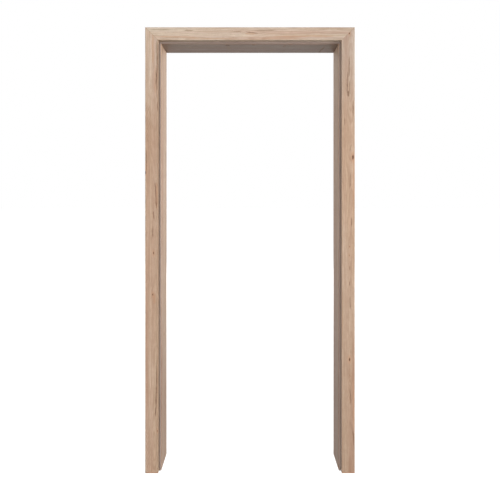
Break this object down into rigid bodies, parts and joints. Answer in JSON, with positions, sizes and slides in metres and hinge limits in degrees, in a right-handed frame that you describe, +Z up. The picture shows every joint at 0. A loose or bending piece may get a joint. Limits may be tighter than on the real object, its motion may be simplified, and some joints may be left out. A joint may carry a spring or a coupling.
{
  "type": "wooden door frame",
  "caption": "Interior door frame of oak-look board: mitred linings with casings on both wall faces, a rebate with a seal for the leaf, and an adjustable rear casing.",
  "frame": {"origin": "on the floor, in the middle of the width and of the depth with the rear casing pushed right in", "axes": "+X across the opening, +Y through the wall from the leaf's side to the rear, +Z up"},
  "size_m": [0.961, 0.172, 2.043],
  "materials": {
    "oak_board": "matt oak foil",
    "seal": "matt taupe",
    "cam": "bare zinc casting",
    "steel_fitting": "zinc plated",
    "screw": "yellow zinc plated",
    "dowel": "bare beech"
  },
  "bodies": {
    "fixed_frame": {"corner_bolt_left_front": "steel_fitting", "corner_bolt_left_rear": "steel_fitting", "corner_bolt_right_front": "steel_fitting", "corner_bolt_right_rear": "steel_fitting", "corner_cam_left_front": "cam", "corner_cam_left_rear": "cam", "corner_cam_right_front": "cam", "corner_cam_right_rear": "cam", "corner_dowel_left_front": "dowel", "corner_dowel_left_rear": "dowel", "corner_dowel_right_front": "dowel", "corner_dowel_right_rear": "dowel", "front_casing_head": "oak_board", "front_casing_left": "oak_board", "front_casing_right": "oak_board", "front_plate_left": "steel_fitting", "front_plate_left_screw_1": "screw", "front_plate_left_screw_2": "screw", "front_plate_left_screw_3": "screw", "front_plate_left_screw_4": "screw", "front_plate_right": "steel_fitting", "front_plate_right_screw_1": "screw", "front_plate_right_screw_2": "screw", "front_plate_right_screw_3": "screw", "front_plate_right_screw_4": "screw", "lining_head": "oak_board", "lining_left": "oak_board", "lining_right": "oak_board", "seal_head": "seal", "seal_left": "seal", "seal_right": "seal"},
    "rear_casing": {"rear_casing_head": "oak_board", "rear_casing_left": "oak_board", "rear_casing_right": "oak_board", "rear_plate_left": "steel_fitting", "rear_plate_left_screw_1": "screw", "rear_plate_left_screw_2": "screw", "rear_plate_left_screw_3": "screw", "rear_plate_left_screw_4": "screw", "rear_plate_right": "steel_fitting", "rear_plate_right_screw_1": "screw", "rear_plate_right_screw_2": "screw", "rear_plate_right_screw_3": "screw", "rear_plate_right_screw_4": "screw"}
  },
  "joints": [
    {"name": "rear_casing_slide", "type": "slide", "parent": "fixed_frame", "child": "rear_casing", "axis": [0, 1, 0], "range_m": [0, 0.02]}
  ]
}
